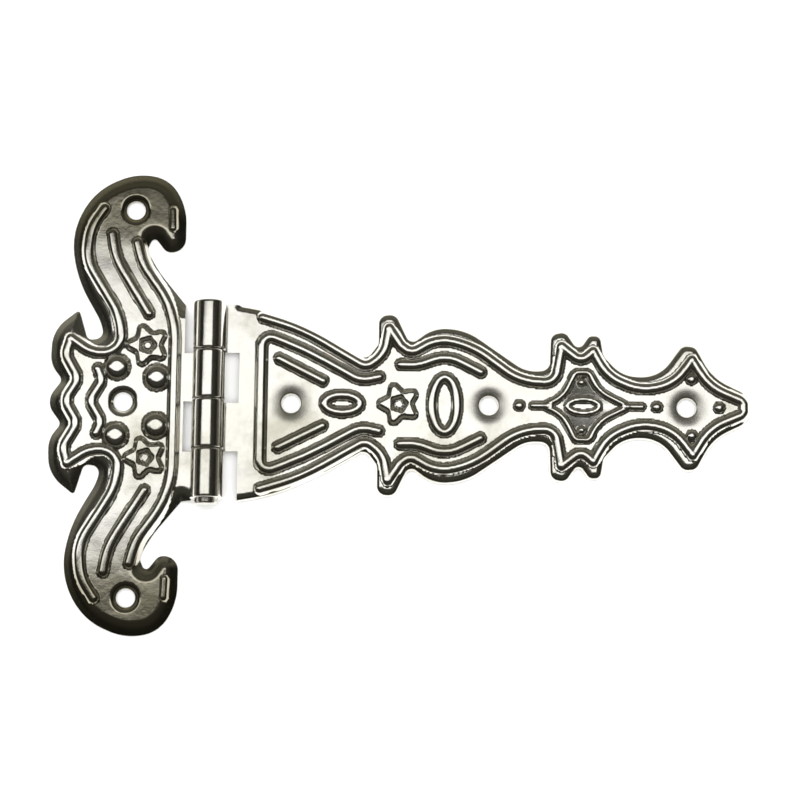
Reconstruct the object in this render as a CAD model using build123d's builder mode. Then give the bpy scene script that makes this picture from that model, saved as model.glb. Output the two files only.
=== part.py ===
"""Decorative strap hinge: two pressed sheet leaves with rolled knuckles, turning on one plain pin.

Millimetres, +Z up. The hinge lies open and flat on its back, its front up, and the strap points to +X.
The origin is midway between the frame leaf's two lobe screws, on the wall plane.
Outlines and beads are measured from the pin axis (X) and from the strap's centre line (Y).
Each corner of an outline or a bead is (x, y, corner radius), for the upper half, and is mirrored in Y.
"""

import os
from math import acos, asin, ceil, copysign, cos, degrees, pi, radians, sin, sqrt, tan

from build123d import *

os.makedirs("parts", exist_ok=True)

# Sheet
sheet = 1.2
rim_drop = 0.9
rim_wall = 1.2
strap_rim_width = 1.2
frame_rim_width = 1.8

# Pin and rolled knuckles
pin_radius = 2.9
pin_clearance = 0.05
pin_stick_out = 1.5
pin_x = 19.6
knuckle_count = 4
knuckle_pitch = 12.55
knuckle_gap = 0.25
seam_gap = 0.4
strap_edge_x = 7.4
frame_edge_x = -6.45

# Pressed relief
bead_height = 0.95
bead_half_width = 1.6
bead_crest_half_width = 0.5
thin_bead_half_width = 1.1
thin_bead_crest_half_width = 0.35
bead_root = 0.35
groove_half_width = 1.1
groove_floor_half_width = 0.25
groove_depth = 0.75
dot_height = 0.85
dot_shoulder = 0.7
ball_height = 1.6
ball_wall = 0.9

# Rounded corners are cut into short facets
facet_turn = 45
edge_facet_error = 0.2
bead_facet_error = 0.3
oval_facets = 16
dot_facets = 8
ball_facets = 12
ball_tiers = 3
ball_hollow_tiers = 2
ball_crown = 0.97
round_cap = (130, 230)
square_cap = ()

# Screw holes
hole_radius = 2.4
frame_sink_radius = 3.45
strap_dish_radius = 4.75
seat_wall = 0.6
seat_land = 0.2
strap_hole_x = 20.5
strap_hole_pitch = 49.5
strap_hole_count = 3
drawn_hole_x = 20.5
drawn_hole_pitch = 49.5
lobe_hole_y = 49.4
frame_hole_x = -21.6

# Heights that follow from the sheet and the pin
bore_radius = pin_radius + pin_clearance
knuckle_radius = bore_radius + sheet
field_back = rim_drop
field_front = field_back + sheet
pin_z = field_back + knuckle_radius
barrel_length = knuckle_count * knuckle_pitch

# The strap's pattern is drawn for one row of holes, and moves and stretches along the strap with them
strap_stretch = strap_hole_pitch / drawn_hole_pitch

# Strap outline, from the knuckle edge round to the tip
strap_outline = [
    (0, 26.4, 0),
    (16.5, 23.4, 45),
    (30, 17.3, 60),
    (39.1, 11.65, 2.0),
    (42, 15.6, 2.0),
    (42, 23.0, 2.5),
    (46.6, 23.4, 2.5),
    (50.3, 15.7, 1.5),
    (56, 20.1, 6),
    (64.2, 19.6, 8),
    (79.3, 9.1, 4),
    (85.0, 9.4, 2.2),
    (85.3, 18.6, 2.3),
    (89.3, 19.4, 2.3),
    (92.5, 14.6, 1.2),
    (95.0, 18.4, 1.8),
    (98.1, 18.4, 1.8),
    (98.9, 13.2, 3),
    (103.6, 8.2, 4),
    (112.4, 7.9, 8),
    (118.5, 16.1, 2.5),
    (121.9, 15.9, 2.5),
    (126.3, 7.9, 4),
    (133.6, 4.35, 2.5),
    (135.75, 1.6, 1.5),
]

# Frame leaf outline, from the wavy left edge up round the lobe and back to the knuckle edge
frame_outline = [
    (-40.0, 1.5, 2.5),
    (-37.2, 5.6, 1.0),
    (-40.1, 9.6, 5),
    (-39.8, 18.4, 6),
    (-33.3, 23.6, 0),
    (-31.0, 15.8, 1.6),
    (-26.8, 16.4, 2.0),
    (-27.7, 20.5, 6),
    (-34.2, 31.8, 14),
    (-35.9, 44.0, 14),
    (-30.0, 54.9, 12),
    (-19.5, 59.4, 14.5),
    (-11.2, 57.7, 8),
    (-6.9, 50.4, 9),
    (-6.9, 38.9, 2.6),
    (-11.7, 38.7, 2.4),
    (-15.0, 43.0, 1.0),
    (-16.6, 39.3, 2),
    (-13.8, 34.0, 12),
    (-6.45, 24.6, 1.5),
    (0, 24.6, 0),
]

# Strap border bead: it runs into each lug and starts again there, and closes round the tip
strap_border = [
    [(13.1, 21.8), (23.5, 18.6, 40), (35.6, 11.4, 15), (39.2, 9.4, 2.6), (43.6, 12.6, 5), (44.9, 19.4)],
    [(44.9, 19.4), (47.8, 15.0, 2.5), (50.4, 13.0, 2.7), (57.2, 17.0, 6), (66.0, 14.9, 10), (77.6, 6.3, 9),
     (86.6, 5.8, 3.4), (88.2, 15.2)],
    [(88.2, 15.2), (93.0, 11.4, 2.4), (96.1, 14.0)],
    [(96.1, 14.0), (99.7, 7.6, 6), (108.0, 4.0, 9), (116.2, 6.0, 5), (120.9, 12.1)],
    [(120.9, 12.1), (125.2, 5.2, 4), (133.5, 2.3, 2.2), (133.5, -2.3, 2.2), (125.2, -5.2, 4), (120.9, -12.1)],
]

# Strap inner beads
strap_inner_border = [
    (42.5, 6.9), (37.9, 5.9, 6), (24.0, 13.6, 40), (12.9, 17.9, 2.4), (12.9, -17.9, 2.4), (24.0, -13.6, 40),
    (37.9, -5.9, 6), (42.5, -6.9),
]
strap_diagonal = [(17.4, 11.3), (28.4, 5.7)]
strap_brow = [(47.9, 10.1), (52.2, 10.0, 6), (59.4, 12.7, 7), (67.9, 8.4)]

# Strap diamond: two concave flanks, their tails and a ring inside
diamond_flank = [(84.0, 0.2), (88.4, 2.2, 8), (91.6, 8.6, 1.5), (95.1, 8.6, 1.5), (97.4, 3.8, 9), (104.8, 0.1)]
diamond_tails = [[(81.0, 0), (85.5, 0)], [(103.8, 0), (108.3, 0)]]

# Oval rings of the strap: centre x, the half axes of the outer foot, then the width of the ring and its flanks
strap_rings = [(33.3, 6.0, 3.8, 3.05, 0.95), (58.9, 4.75, 8.5, 3.05, 0.95), (93.6, 4.9, 2.65, 1.85, 0.7)]

# Round dots of the strap: those in the diamond, and those round a screw hole, by the hole's number and the
# offset from its centre
diamond_dots = [(93.2, 6.1), (93.2, -6.1)]
diamond_dot_radius = 1.1
hole_dots = [(1, 7.6, 0), (2, -7.5, 0), (2, 8.1, 0), (2, 1.2, 7.2), (2, 1.2, -7.2)]
hole_dot_radius = 1.55

# Frame leaf beads: the long one follows the lobe, the hook and the wavy left edge
frame_long_bead = [
    (-27.5, 49.6), (-30.8, 44.6, 10), (-31.6, 36.2, 12), (-22.6, 21.4, 7), (-22.2, 12.9, 4.5), (-29.3, 12.0, 6),
    (-35.0, 15.9),
]
frame_wave_bead = [
    (-35.0, 15.9), (-36.2, 11.8, 3), (-32.9, 5.6, 2.4), (-35.9, 0, 2.4), (-32.9, -5.6, 2.4), (-36.2, -11.8, 3),
    (-35.0, -15.9),
]
frame_inner_wave = [
    (-28.0, 8.2), (-26.9, 5.2, 2.4), (-29.7, 0, 2.4), (-26.9, -5.2, 2.4), (-28.0, -8.2),
]
frame_border = [
    (-18.9, 40.8), (-17.5, 35.2, 14), (-8.9, 23.0, 4), (-8.9, -23.0, 4), (-17.5, -35.2, 14), (-18.9, -40.8),
]
frame_arm_bead = [(-25.3, 43.0), (-24.3, 36.6, 20), (-15.6, 22.5)]
frame_lobe_bead = [(-10.2, 49.3), (-10.05, 44.7)]
frame_balls = [(-23.2, 8.7, 3.5), (-13.2, 6.1, 3.6)]

# Five-pointed stars: centre on each leaf, one point towards the frame leaf's end
star_tip_radius = 7.4
star_waist_radius = 3.8
star_tip_fillet = 1.5
star_flank = 0.95
star_pit_radius = 2.5
star_pit_flank = 0.8
star_boss_radius = 1.0
star_boss_height = 0.5
star_boss_shoulder = 0.5
strap_star = (47.5, 0)
frame_star = (-15.7, 14.3)


def above(height):
    """Sketch plane at a height, with its origin over the pin axis."""
    return Plane((pin_x, 0, height))


def mirrored(corners):
    """The corners of a bead or outline in the other half."""
    return [(x, -y, *radius) for x, y, *radius in corners]


def along_strap(places):
    """Places of the strap's drawn pattern, moved and stretched with the row of holes."""
    return [(strap_hole_x + (x - drawn_hole_x) * strap_stretch, *rest) for x, *rest in places]


def rounded(corners, facet_error):
    """Points along a path whose corners are rounded to their radius in short straight facets."""
    points = []
    for index, (x, y, *radius) in enumerate(corners):
        here = Vector(x, y)
        if not radius or not radius[0]:
            points.append(here)
            continue
        before = Vector(*corners[index - 1][:2])
        after = Vector(*corners[(index + 1) % len(corners)][:2])
        into = (here - before).normalized()
        out = (after - here).normalized()
        turn = into.get_signed_angle(out, Vector(0, 0, 1))
        step = min(facet_turn, 2 * degrees(acos(1 - facet_error / radius[0])))
        facets = ceil(abs(turn) / step)
        side = into.rotate(Axis.Z, copysign(90, turn))
        setback = radius[0] * tan(radians(abs(turn) / 2))
        centre = here - into * setback + side * radius[0]
        for facet in range(facets + 1):
            points.append(centre - side.rotate(Axis.Z, turn * facet / facets) * radius[0])
    return points


def drawn_in(points, inset):
    """A closed outline's points, with every side moved in by an inset."""
    runs = [(after - here).normalized() for here, after in zip(points, [*points[1:], points[0]])]
    area = sum(here.cross(after).Z for here, after in zip(points, [*points[1:], points[0]]))
    inner = []
    for point, run_in, run_out in zip(points, [runs[-1], *runs], runs):
        along = (run_in + run_out).normalized()
        inner.append(point + along.rotate(Axis.Z, copysign(90, area)) * (inset / along.dot(run_in)))
    return inner


def pressing(foot, top, low, high):
    """Solid between two polygons whose sides match, the foot at the low height and the top at the high one."""
    lower = [Vector(pin_x + point.X, point.Y, low) for point in foot]
    upper = [Vector(pin_x + point.X, point.Y, high) for point in top]
    walls = []
    for index in range(len(lower)):
        corners = [lower[index - 1], lower[index], upper[index], upper[index - 1]]
        walls.append(Face(Wire.make_polygon(corners)))
    ends = [Face(Wire.make_polygon(loop)) for loop in (lower, upper)]
    return Solid(Shell([*walls, *ends]))


def strip(corners, half_width, cap_turns):
    """Outline of a strip along a path, with a corner at each turn round its ends."""
    points = rounded(corners, bead_facet_error)
    runs = [(after - here).normalized() for here, after in zip(points, points[1:])]
    runs = [runs[0], *runs, runs[-1]]
    left = []
    right = []
    for point, run_in, run_out in zip(points, runs, runs[1:]):
        along = (run_in + run_out).normalized()
        reach = along.rotate(Axis.Z, 90) * (half_width / along.dot(run_in))
        left.append(point + reach)
        right.append(point - reach)
    start_cap = [points[0] + runs[0].rotate(Axis.Z, turn) * half_width for turn in cap_turns]
    end_cap = [points[-1] + runs[-1].rotate(Axis.Z, turn - 180) * half_width for turn in cap_turns]
    return [*reversed(left), *start_cap, *right, *end_cap]


def bead(corners, half_width=bead_half_width, crest_half_width=bead_crest_half_width):
    """Raised bead along a path: sloping flanks, a flat crest and rounded ends."""
    root_half_width = half_width + (half_width - crest_half_width) * bead_root / bead_height
    foot = strip(corners, root_half_width, round_cap)
    crest = strip(corners, crest_half_width, round_cap)
    return pressing(foot, crest, field_front - bead_root, field_front + bead_height)


def groove(corners):
    """Hollow behind a bead, where the punch pressed the sheet up."""
    mouth = strip(corners, groove_half_width, square_cap)
    floor = strip(corners, groove_floor_half_width, square_cap)
    return pressing(mouth, floor, field_back, field_back + groove_depth)


def oval(x, y, half_length, half_width, facets):
    """Points of a faceted oval."""
    turns = [2 * pi * facet / facets for facet in range(facets)]
    return [Vector(x + half_length * cos(turn), y + half_width * sin(turn)) for turn in turns]


def dot(x, y, radius, height, shoulder):
    """Small raised boss whose flank draws in by a shoulder."""
    foot = oval(x, y, radius, radius, dot_facets)
    top = oval(x, y, radius - shoulder, radius - shoulder, dot_facets)
    return pressing(foot, top, field_front, field_front + height)


def ring(x, half_length, half_width, width, flank):
    """Raised oval with sloping flanks, and the pit inside it that leaves a ring."""
    crest = field_front + bead_height
    outer = oval(x, 0, half_length, half_width, oval_facets)
    inner = oval(x, 0, half_length - width, half_width - width, oval_facets)
    raised = pressing(outer, drawn_in(outer, flank), field_front, crest)
    pit = pressing(inner, drawn_in(inner, -flank), field_front, crest)
    return raised, pit


def dome(x, y, radius, height, base, tier_count):
    """Ball-shaped dome in tiers, as the front of a pressed ball or the hollow behind it."""
    sphere_radius = (radius**2 + height**2) / (2 * height)
    levels = [height * sin(pi / 2 * tier / tier_count) for tier in range(tier_count + 1)]
    levels[-1] = height * ball_crown
    tiers = []
    for low, high in zip(levels, levels[1:]):
        low_radius, high_radius = (
            sqrt(sphere_radius**2 - (sphere_radius - height + level) ** 2) for level in (low, high)
        )
        foot = oval(x, y, low_radius, low_radius, ball_facets)
        top = oval(x, y, high_radius, high_radius, ball_facets)
        tiers.append(pressing(foot, top, base + low, base + high))
    return tiers


def star(x, y):
    """Raised five-pointed star, and the pentagon pit in its middle."""
    crest = field_front + bead_height
    turns = [radians(180 + 36 * step) for step in range(10)]
    corners = []
    for step, turn in enumerate(turns):
        reach, fillet_radius = (star_waist_radius, 0) if step % 2 else (star_tip_radius, star_tip_fillet)
        corners.append((x + reach * cos(turn), y + reach * sin(turn), fillet_radius))
    foot = rounded(corners, bead_facet_error)
    raised = pressing(foot, drawn_in(foot, star_flank), field_front, crest)
    mouth = [Vector(x - star_pit_radius * cos(turn), y - star_pit_radius * sin(turn)) for turn in turns[::2]]
    pit = pressing(drawn_in(mouth, star_pit_flank), mouth, field_front, crest)
    return raised, pit


def seat(x, y, sink_radius):
    """Dimple round a screw hole that is pressed down to the wall plane, and the dish in front of it."""
    back = oval(x, y, sink_radius + seat_wall, sink_radius + seat_wall, oval_facets)
    sink = oval(x, y, sink_radius, sink_radius, oval_facets)
    land = oval(x, y, hole_radius + seat_land, hole_radius + seat_land, oval_facets)
    dimple = pressing(back, back, 0, field_back)
    dish = pressing(land, sink, sheet, field_front)
    return dimple, dish


def pan(outline, rim_width, edge_x):
    """Pressed blank: a raised field, its rim turned down to the wall plane, trimmed at the knuckle edge."""
    corners = outline + mirrored(reversed(outline))
    edge = rounded(corners, edge_facet_error)
    hollow = drawn_in(rounded(corners, bead_facet_error), rim_wall)
    add([pressing(edge, edge, 0, sheet), pressing(edge, drawn_in(edge, rim_width), sheet, field_front)])
    add(pressing(hollow, hollow, 0, field_back), mode=Mode.SUBTRACT)
    with BuildSketch(above(0)) as trim:
        Rectangle(2 * abs(edge_x), 2 * barrel_length)
    extrude(trim.sketch, amount=field_front, mode=Mode.SUBTRACT)


def knuckles(places, edge_x):
    """Rolled knuckles and their tabs: the sheet runs under the pin, round it and back to the tab."""
    side = 1 if edge_x > 0 else -1
    lip = degrees(asin((bore_radius - seam_gap) / knuckle_radius))
    turn = side * (270 + lip)
    for place in places:
        start = barrel_length / 2 - place * knuckle_pitch - knuckle_gap / 2
        with BuildSketch(Plane((pin_x, start, pin_z), x_dir=(1, 0, 0), z_dir=(0, -1, 0))) as section:
            with BuildLine():
                outer = CenterArc((0, 0), knuckle_radius, -90, -turn)
                inner = CenterArc((0, 0), bore_radius, -90, -turn)
                Line(outer @ 1, inner @ 1)
                Polyline(outer @ 0, (edge_x, -knuckle_radius), (edge_x, -bore_radius), inner @ 0)
            make_face()
        extrude(section.sketch, amount=knuckle_pitch - knuckle_gap)


with BuildPart() as strap_leaf:
    pan(along_strap(strap_outline), strap_rim_width, strap_edge_x)
    knuckles((0, 2), strap_edge_x)
    paths = [*strap_border, strap_inner_border, strap_diagonal, strap_brow]
    paths += [mirrored(path) for path in (*strap_border[:-1], strap_diagonal, strap_brow)]
    paths = [along_strap(path) for path in paths]
    thin_paths = [diamond_flank, mirrored(diamond_flank), *diamond_tails]
    thin_paths = [along_strap(path) for path in thin_paths]
    holes = [(strap_hole_x + place * strap_hole_pitch, 0) for place in range(strap_hole_count)]
    rings, ring_pits = zip(*[ring(*place) for place in along_strap(strap_rings)])
    stars = along_strap([strap_star])
    points, star_pits = zip(*[star(x, y) for x, y in stars])
    seats, dishes = zip(*[seat(x, y, strap_dish_radius) for x, y in holes])
    dots = [(x, y, diamond_dot_radius) for x, y in along_strap(diamond_dots)]
    dots += [(holes[place][0] + x, holes[place][1] + y, hole_dot_radius) for place, x, y in hole_dots]
    add([bead(path) for path in paths])
    add([bead(path, thin_bead_half_width, thin_bead_crest_half_width) for path in thin_paths])
    add([*rings, *points, *seats])
    add([dot(x, y, radius, dot_height, dot_shoulder) for x, y, radius in dots])
    add([*ring_pits, *star_pits, *dishes], mode=Mode.SUBTRACT)
    add([groove(path) for path in paths], mode=Mode.SUBTRACT)
    add([dot(x, y, star_boss_radius, star_boss_height, star_boss_shoulder) for x, y in stars])
    with Locations([(pin_x + x, y, field_front) for x, y in holes]):
        Hole(hole_radius, depth=field_front)
strap_leaf.part.label = "strap_leaf"
export_step(strap_leaf.part, "parts/strap_leaf.step")

with BuildPart() as frame_leaf:
    pan(frame_outline, frame_rim_width, frame_edge_x)
    knuckles((1, 3), frame_edge_x)
    paths = [frame_long_bead, frame_arm_bead, frame_lobe_bead]
    paths += [mirrored(path) for path in paths]
    paths += [frame_wave_bead, frame_inner_wave, frame_border]
    stars = [(frame_star[0], side * frame_star[1]) for side in (1, -1)]
    balls = frame_balls + mirrored(frame_balls)
    holes = [(-pin_x, lobe_hole_y), (-pin_x, -lobe_hole_y), (frame_hole_x, 0)]
    points, star_pits = zip(*[star(x, y) for x, y in stars])
    seats, dishes = zip(*[seat(x, y, frame_sink_radius) for x, y in holes])
    add([bead(path) for path in paths])
    add([*points, *seats])
    for x, y, radius in balls:
        add(dome(x, y, radius, ball_height, field_front, ball_tiers))
    add([*star_pits, *dishes], mode=Mode.SUBTRACT)
    add([groove(path) for path in paths], mode=Mode.SUBTRACT)
    for x, y, radius in balls:
        hollow = dome(x, y, radius - ball_wall, ball_height - ball_wall, field_back, ball_hollow_tiers)
        add(hollow, mode=Mode.SUBTRACT)
    add([dot(x, y, star_boss_radius, star_boss_height, star_boss_shoulder) for x, y in stars])
    with Locations([(pin_x + x, y, field_front) for x, y in holes]):
        Hole(hole_radius, depth=field_front)
frame_leaf.part.label = "frame_leaf"
export_step(frame_leaf.part, "parts/frame_leaf.step")

with BuildPart() as hinge_pin:
    with BuildSketch(Plane((pin_x, barrel_length / 2, pin_z), x_dir=(1, 0, 0), z_dir=(0, -1, 0))):
        Circle(pin_radius)
    extrude(amount=barrel_length + pin_stick_out)
hinge_pin.part.label = "hinge_pin"
export_step(hinge_pin.part, "parts/hinge_pin.step")
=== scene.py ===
# %% [markdown]
# # A decorative strap hinge
#
# Two leaves are pressed from thin bright-plated steel and turn on a plain pin. Each leaf is one piece of sheet: the
# punch raises beads, rings, stars and balls from it, turns its rim down, and its tabs are rolled into knuckles.
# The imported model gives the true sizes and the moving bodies. Here each leaf is made again as a fine sheet whose
# front and back follow the punch, because a polished surface shows every facet.

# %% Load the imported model
import math

import bpy
import numpy as np
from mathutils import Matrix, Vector
from mathutils.geometry import delaunay_2d_cdt


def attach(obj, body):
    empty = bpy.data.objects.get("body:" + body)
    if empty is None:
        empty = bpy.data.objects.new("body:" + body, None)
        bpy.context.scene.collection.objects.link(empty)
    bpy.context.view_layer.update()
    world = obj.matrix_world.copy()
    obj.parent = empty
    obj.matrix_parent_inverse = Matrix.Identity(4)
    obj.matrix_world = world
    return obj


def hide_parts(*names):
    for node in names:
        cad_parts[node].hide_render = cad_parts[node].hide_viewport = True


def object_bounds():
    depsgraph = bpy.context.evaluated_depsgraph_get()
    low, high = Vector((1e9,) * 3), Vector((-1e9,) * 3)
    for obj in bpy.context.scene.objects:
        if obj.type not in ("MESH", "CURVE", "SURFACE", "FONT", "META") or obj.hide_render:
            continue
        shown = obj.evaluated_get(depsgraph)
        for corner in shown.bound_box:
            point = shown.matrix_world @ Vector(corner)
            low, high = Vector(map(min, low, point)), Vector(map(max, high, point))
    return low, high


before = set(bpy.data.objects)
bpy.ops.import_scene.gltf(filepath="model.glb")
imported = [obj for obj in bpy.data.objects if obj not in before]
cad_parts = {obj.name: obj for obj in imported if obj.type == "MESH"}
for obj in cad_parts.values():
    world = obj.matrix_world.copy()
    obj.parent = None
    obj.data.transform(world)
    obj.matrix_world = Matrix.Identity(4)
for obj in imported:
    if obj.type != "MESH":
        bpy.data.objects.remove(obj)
cad_low, cad_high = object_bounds()

# %% [markdown]
# ## Measures
#
# The measures of the metal are in millimetres, as a toolmaker would write them, and turn into metres only when a mesh
# is made. X is counted from the pin axis, Y from the strap's centre line and Z from the wall behind the hinge. The
# flat field of a leaf stands a little off that wall, on its turned-down rim.

# %% Sheet, pin and holes
MM = 0.001
PIN_X = 19.6
SHEET = 1.2
FIELD_BACK = 0.9
FIELD_FRONT = FIELD_BACK + SHEET
PIN_RADIUS = 2.9
BORE_RADIUS = 2.95
KNUCKLE_RADIUS = BORE_RADIUS + SHEET
PIN_Z = FIELD_BACK + KNUCKLE_RADIUS
KNUCKLE_PITCH = 12.55
KNUCKLE_GAP = 0.25
BARREL_LENGTH = 4 * KNUCKLE_PITCH
BARREL_END = (BARREL_LENGTH - KNUCKLE_GAP) / 2
STRAP_EDGE = 7.4
FRAME_EDGE = -6.45
HOLE_RADIUS = 2.4
print("pin axis height", round(PIN_Z, 2), "mm, barrel", BARREL_LENGTH, "mm")

# %% [markdown]
# ## The drawing
#
# An outline or a bead is a short list of corners, each with the radius of its rounding, mostly for the upper half of
# the leaf. The lower half is the mirror image. Bezier curves could hold the same lines, but corners and radii are what
# a toolmaker's drawing gives, and they stay smooth at any fineness.

# %% Strap drawing
strap_outline = [
    (STRAP_EDGE, BARREL_END), (16.5, 23.4, 45), (30, 17.3, 60), (39.1, 11.65, 2.0), (42, 15.6, 2.0), (42, 23.0, 2.5),
    (46.6, 23.4, 2.5), (50.3, 15.7, 1.5), (56, 20.1, 6), (64.2, 19.6, 8), (79.3, 9.1, 4), (85.0, 9.4, 2.2),
    (85.3, 18.6, 2.3), (89.3, 19.4, 2.3), (92.5, 14.6, 1.2), (95.0, 18.4, 1.8), (98.1, 18.4, 1.8), (98.9, 13.2, 3),
    (103.6, 8.2, 4), (112.4, 7.9, 8), (118.5, 16.1, 2.5), (121.9, 15.9, 2.5), (126.3, 7.9, 4), (133.6, 4.35, 2.5),
    (135.75, 1.6, 1.5),
]
strap_border = [
    [(13.1, 21.8), (23.5, 18.6, 40), (35.6, 11.4, 15), (39.2, 9.4, 2.6), (43.6, 12.6, 5), (44.9, 19.4)],
    [(44.9, 19.4), (47.8, 15.0, 2.5), (50.4, 13.0, 2.7), (57.2, 17.0, 6), (66.0, 14.9, 10), (77.6, 6.3, 9),
     (86.6, 5.8, 3.4), (88.2, 15.2)],
    [(88.2, 15.2), (93.0, 11.4, 2.4), (96.1, 14.0)],
    [(96.1, 14.0), (99.7, 7.6, 6), (108.0, 4.0, 9), (116.2, 6.0, 5), (120.9, 12.1)],
]
strap_tip_bead = [
    (120.9, 12.1), (125.2, 5.2, 4), (133.8, 1.6, 1.5), (133.8, -1.6, 1.5), (125.2, -5.2, 4), (120.9, -12.1),
]
strap_inner_border = [
    (42.5, 6.9), (37.9, 5.9, 6), (24.0, 13.6, 40), (12.9, 17.9, 2.4), (12.9, -17.9, 2.4), (24.0, -13.6, 40),
    (37.9, -5.9, 6), (42.5, -6.9),
]
strap_diagonal = [(17.4, 11.3), (28.4, 5.7)]
strap_brow = [(47.9, 10.1), (52.2, 10.0, 6), (59.4, 12.7, 7), (67.9, 8.4)]
diamond_flank = [(84.0, 0.2), (88.4, 2.2, 8), (91.6, 8.6, 1.5), (95.1, 8.6, 1.5), (97.4, 3.8, 9), (104.8, 0.1)]
diamond_tails = [[(81.0, 0), (85.5, 0)], [(103.8, 0), (108.3, 0)]]
strap_rings = [(33.3, 4.4, 2.25, 1.5), (58.9, 3.2, 6.95, 1.5), (93.6, 3.95, 1.75, 0.95)]
strap_dots = [
    (77.6, 0, 1.55), (112.0, 0, 1.55), (127.6, 0, 1.55), (120.7, 7.2, 1.55), (120.7, -7.2, 1.55),
    (93.2, 6.1, 1.1), (93.2, -6.1, 1.1),
]
strap_star = (47.5, 0)
strap_holes = [(20.5, 0), (70.0, 0), (119.5, 0)]
print("strap outline", len(strap_outline), "corners, dots", len(strap_dots), "rings", len(strap_rings))

# %% Frame leaf drawing
frame_outline = [
    (-40.0, 1.5, 4), (-37.0, 5.6, 1.5), (-40.1, 9.6, 5), (-39.8, 18.4, 6), (-33.3, 23.6, 0.6), (-31.0, 15.8, 1.6),
    (-26.8, 16.4, 2.0), (-27.7, 20.5, 6), (-34.2, 31.8, 14), (-35.9, 44.0, 14), (-30.0, 54.9, 12),
    (-19.5, 59.4, 14.5), (-11.2, 57.7, 8), (-6.9, 50.4, 9), (-6.9, 38.9, 3.5), (-11.7, 38.7, 2.4), (-15.0, 43.0, 1.0),
    (-16.6, 39.3, 2), (-13.8, 34.0, 12), (FRAME_EDGE, BARREL_END),
]
frame_long_bead = [
    (-27.5, 49.6), (-30.8, 44.6, 10), (-31.6, 36.2, 12), (-22.6, 21.4, 7), (-22.2, 12.9, 4.5), (-29.3, 12.0, 6),
    (-35.0, 15.9),
]
frame_wave_bead = [
    (-35.0, 15.9), (-36.2, 11.8, 3.9), (-32.7, 5.6, 3.6), (-36.1, 0, 3.6), (-32.7, -5.6, 3.6), (-36.2, -11.8, 3.9),
    (-35.0, -15.9),
]
frame_inner_wave = [(-28.0, 8.2), (-26.8, 5.2, 3.2), (-29.9, 0, 3.2), (-26.8, -5.2, 3.2), (-28.0, -8.2)]
frame_border = [
    (-18.9, 40.8), (-17.5, 35.2, 14), (-8.9, 23.0, 4), (-8.9, -23.0, 4), (-17.5, -35.2, 14), (-18.9, -40.8),
]
frame_arm_bead = [(-25.3, 43.0), (-24.3, 36.6, 20), (-15.6, 22.5)]
frame_lobe_bead = [(-10.2, 49.3), (-10.05, 44.7)]
frame_balls = [(-23.2, 8.7, 3.5), (-13.2, 6.1, 3.6)]
frame_star = (-15.7, 14.3)
frame_holes = [(-PIN_X, 49.4), (-PIN_X, -49.4), (-21.6, 0)]
print("frame leaf outline", len(frame_outline), "corners")

# %% [markdown]
# ## From corners to curves
#
# A corner with a radius becomes an arc of short steps. Paths for measuring distance stay coarse on their straight
# runs, and the outline itself is divided evenly, so that the sheet's edge has regular points. The punch below asks
# only how far a point is from a path, so one function measures that for every bead.

# %% Path helpers
ARC_STEP = math.radians(4)
FLOWING_RADIUS = 4.0
LEAST_TURN = 1e-6
OVAL_POINTS = 72


def mirrored(corners):
    """The same corners in the lower half."""
    return [(x, -y, *radius) for x, y, *radius in corners]


def rounded(corners, closed=False):
    """Points of a path with rounded corners. A corner of a flowing radius grows until it fills its sides."""
    spots = np.array([corner[:2] for corner in corners], float)
    radii = np.array([corner[2] if len(corner) > 2 else 0 for corner in corners], float)
    runs = np.roll(spots, -1, 0) - spots
    lengths = np.linalg.norm(runs, axis=1)
    ahead = runs / lengths[:, None]
    behind = np.roll(ahead, 1, 0)
    turns = np.arctan2(behind[:, 0] * ahead[:, 1] - behind[:, 1] * ahead[:, 0], (behind * ahead).sum(1))
    bends = np.tan(np.maximum(abs(turns), LEAST_TURN) / 2)
    reach = radii * bends
    room_ahead = np.minimum(lengths / 2, lengths - np.roll(reach, -1))
    room_behind = np.roll(np.minimum(lengths / 2, lengths - reach), 1)
    grown = np.maximum(reach, np.minimum(room_ahead, room_behind)) / bends
    radii = np.where(radii >= FLOWING_RADIUS, grown, radii)
    points = []
    for here, run_in, turn, bend, radius in zip(spots, behind, turns, bends, radii):
        if not radius:
            points.append(here)
            continue
        side = np.array((-run_in[1], run_in[0])) * math.copysign(1, turn)
        centre = here - run_in * radius * bend + side * radius
        for angle in np.linspace(0, turn, max(2, math.ceil(abs(turn) / ARC_STEP) + 1)):
            spin = np.array([(math.cos(angle), -math.sin(angle)), (math.sin(angle), math.cos(angle))])
            points.append(centre - spin @ side * radius)
    if closed:
        points.append(points[0])
    return np.array(points)


def evenly(path, step):
    """The path divided into even steps, with its ends kept."""
    lengths = np.r_[0, np.cumsum(np.linalg.norm(np.diff(path, axis=0), axis=1))]
    places = np.linspace(0, lengths[-1], max(2, math.ceil(lengths[-1] / step) + 1))
    return np.stack([np.interp(places, lengths, path[:, axis]) for axis in (0, 1)], 1)


def oval(x, y, half_length, half_width, count=OVAL_POINTS):
    """Closed path of an oval."""
    turns = np.linspace(0, 2 * math.pi, count + 1)
    return np.stack([x + half_length * np.cos(turns), y + half_width * np.sin(turns)], 1)


print("strap outline", len(rounded(strap_outline)), "points in its upper half")

# %% Distances
STRETCH = 24
LEAST_SQUARE = 1e-12


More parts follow.
